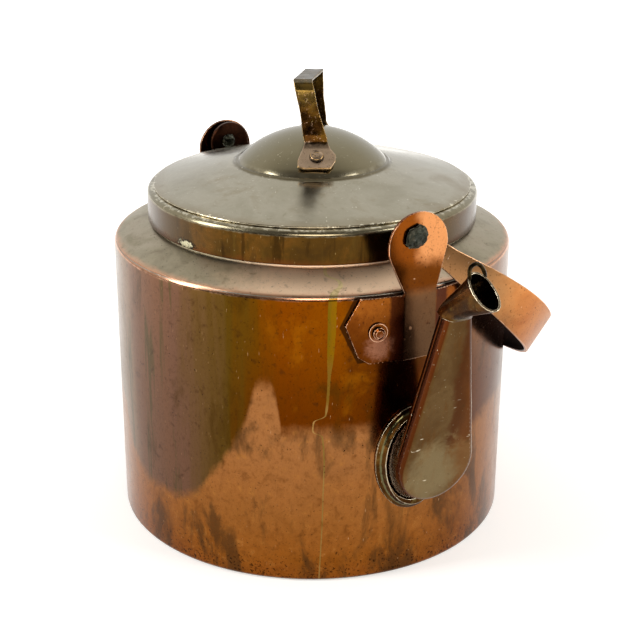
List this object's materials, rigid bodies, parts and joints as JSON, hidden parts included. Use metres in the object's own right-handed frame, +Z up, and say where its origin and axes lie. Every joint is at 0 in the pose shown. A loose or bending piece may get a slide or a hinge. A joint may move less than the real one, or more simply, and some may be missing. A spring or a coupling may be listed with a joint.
{
  "type": "tea kettle",
  "caption": "Cylindrical copper tea kettle with a lift-off domed lid, a folding strap bail on riveted ears and a tall flat-faced spout.",
  "frame": {"origin": "centre of the kettle's underside, on the surface it stands on", "axes": "+Z up, +X along the spout, +Y towards the side the bail is folded down to"},
  "size_m": [0.3315, 0.2691, 0.2815],
  "materials": {
    "copper": "polished and stained copper sheet under a clear lacquer",
    "patinated_copper": "satin olive-grey patina on copper sheet, lightly scratched",
    "worn_copper": "bright worn copper with dark pits",
    "dark_brass": "dark golden-brown worn brass and solder",
    "iron": "hammered black iron"
  },
  "bodies": {
    "kettle": {"body_shell": "copper", "neck_ring": "copper", "bottom_pan": "copper", "spout_front_shell": "copper", "spout_back_plate": "copper", "spout_base_collar": "copper", "spout_nozzle": "copper", "mouth_eye": "dark_brass", "front_ear": "worn_copper", "front_pivot_rivet": "iron", "front_ear_rivet_a": "worn_copper", "front_ear_washer_a": "worn_copper", "front_ear_rivet_b": "worn_copper", "front_ear_washer_b": "worn_copper", "rear_ear": "worn_copper", "rear_pivot_rivet": "iron", "rear_ear_rivet_a": "worn_copper", "rear_ear_washer_a": "worn_copper", "rear_ear_rivet_b": "worn_copper", "rear_ear_washer_b": "worn_copper"},
    "lid": {"lid_crown": "patinated_copper", "lid_skirt": "copper", "lid_handle": "dark_brass", "lid_handle_rivet_front": "dark_brass", "lid_handle_rivet_rear": "dark_brass"},
    "bail": {"bail_strap": "worn_copper"}
  },
  "joints": [
    {"name": "bail_swing", "type": "hinge", "parent": "kettle", "child": "bail", "pos_m": [0, -0.0016, 0.213], "axis": [1, 0, 0], "range_deg": [0, 259]},
    {"name": "lid_lift", "type": "slide", "parent": "kettle", "child": "lid", "axis": [0, 0, 1], "range_m": [0, 0.12]}
  ]
}
